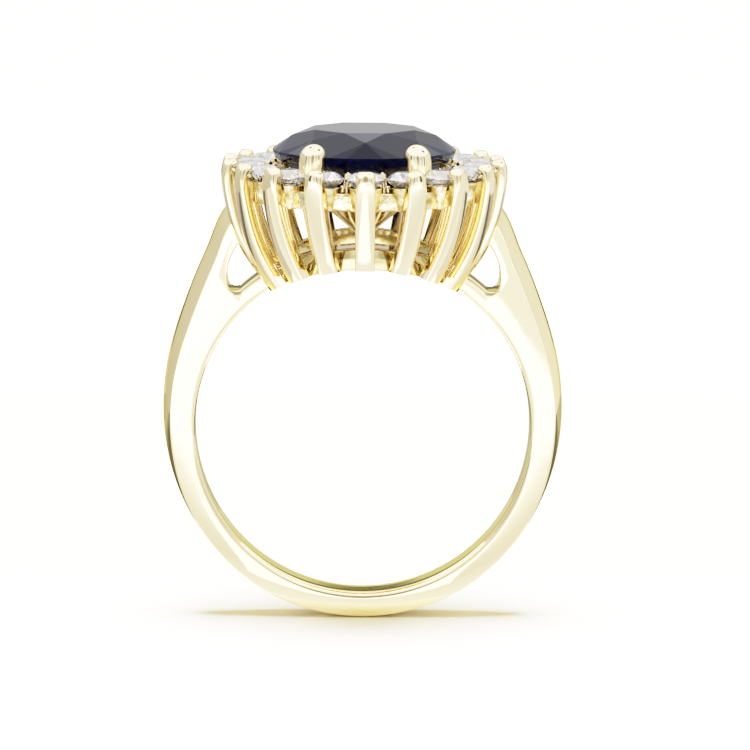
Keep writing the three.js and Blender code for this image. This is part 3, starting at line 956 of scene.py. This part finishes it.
def set_response():
    settings = bpy.context.scene.view_settings
    settings.view_transform = "Standard"
    settings.use_curve_mapping = True
    mapping = settings.curve_mapping
    full = RESPONSE[-1][0]
    mapping.white_level = (full, full, full)
    points = mapping.curves[3].points
    while len(points) < len(RESPONSE):
        points.new(0.5, 0.5)
    for point, (light, shown) in zip(points, RESPONSE):
        point.location = (light / full, shown)
    mapping.update()


SUN_ENERGY = 12
SUN_WIDTH = 32  # degrees across, which softens the shadow
CARD_RISE = 0.3  # the floor's cards lie this far above the ring's lowest point
CARDS_FRONT = -4  # the wide cards in front of the ring end here, and the cards beside it begin
CARDS_BACK = 12  # the cards beside the ring end here, and the card behind it begins
CARDS_HALF_WIDTH = 90
WALL_TOP = 60
WALL_PLACE = 80  # the walls stand this far from the origin


def build_sun():
    """A soft sun straight overhead that lights the floor and throws the shadow; nothing mirrors it."""
    data = bpy.data.lights.new("overhead", "SUN")
    data.energy = SUN_ENERGY
    data.angle = math.radians(SUN_WIDTH)
    sun = bpy.data.objects.new("overhead", data)
    sun.visible_glossy = False
    sun.visible_transmission = False
    bpy.context.scene.collection.objects.link(sun)


def build_floor_cards():
    """What the gold mirrors of the floor: bright in front, dim close behind the ring."""
    z = shank_low.z + CARD_RISE
    near = [(0.34, 5.5), (0.56, 5), (0.68, 2.4), (0.82, 1.6), (0.9, 1.5), (1.0, 2.2)]
    for name, side, far in (("bounce_left", -1, 6), ("bounce_right", 1, 2.0)):
        stops = [(0.0, far), (0.22, far), *near]
        outer = side * CARDS_HALF_WIDTH
        flat_card(name, (0, -240, z), (outer, CARDS_FRONT, z), "Y", -140, 0, stops)
    low, high = (-6, -45, z + 0.1), (4.5, -10, z + 0.1)
    flat_card("bounce_middle", low, high, "Y", -45, -10, [(0.0, 4.5), (1.0, 4.0)])
    stops = [(0.0, 0.15), (0.35, 0.2), (0.5, 0.75), (1.0, 0.7)]
    low, high = (-CARDS_HALF_WIDTH, CARDS_BACK, z), (CARDS_HALF_WIDTH, WALL_PLACE, z)
    flat_card("floor_behind", low, high, "Y", 0, WALL_PLACE, stops)
    for name, side, level in (("floor_left", -1, 0.9), ("floor_right", 1, 1.3)):
        inner, outer = side * 14, side * WALL_PLACE
        low, high = (inner, CARDS_FRONT, z), (outer, CARDS_BACK, z)
        flat_card(name, low, high, "X", inner, outer, [(0.0, level), (1.0, level)])


def build_walls():
    """Cards beside and behind the ring; the back one is dark in a band level with the head."""
    z = shank_low.z + CARD_RISE
    for name, x, low, high in (("left_wall", -WALL_PLACE, 0.8, 1.1), ("right_wall", WALL_PLACE, 1.6, 1.4)):
        corners = (x, -50, z), (x, WALL_PLACE, WALL_TOP)
        flat_card(name, *corners, "Z", z, WALL_TOP, [(0.0, low), (1.0, high)])
    corners = (-WALL_PLACE, WALL_PLACE, z), (WALL_PLACE, WALL_PLACE, WALL_TOP)
    stops = [(0.0, 1.1), (0.19, 1.0), (0.22, 0.2), (0.35, 0.2), (0.38, 0.9), (1.0, 0.9)]
    flat_card("back_wall", *corners, "Z", z, WALL_TOP, stops)


# The ring

build_camera()
build_shank()
build_gallery()
build_bridge()
build_halo_rail()
for place in range(DIAMOND_COUNT):
    build_outer_claw(place)
    build_cup(place)
    build_diamond(place)
for place in range(DIAMOND_COUNT):
    if place + 0.5 not in SKIPPED_BEADS:
        build_bead(place + 0.5)
for name, t in CENTRE_CLAWS.items():
    build_centre_claw(name, t)
build_seat()
build_sapphire()

build_floor()
build_world()
build_sun()
build_floor_cards()
build_walls()
set_response()
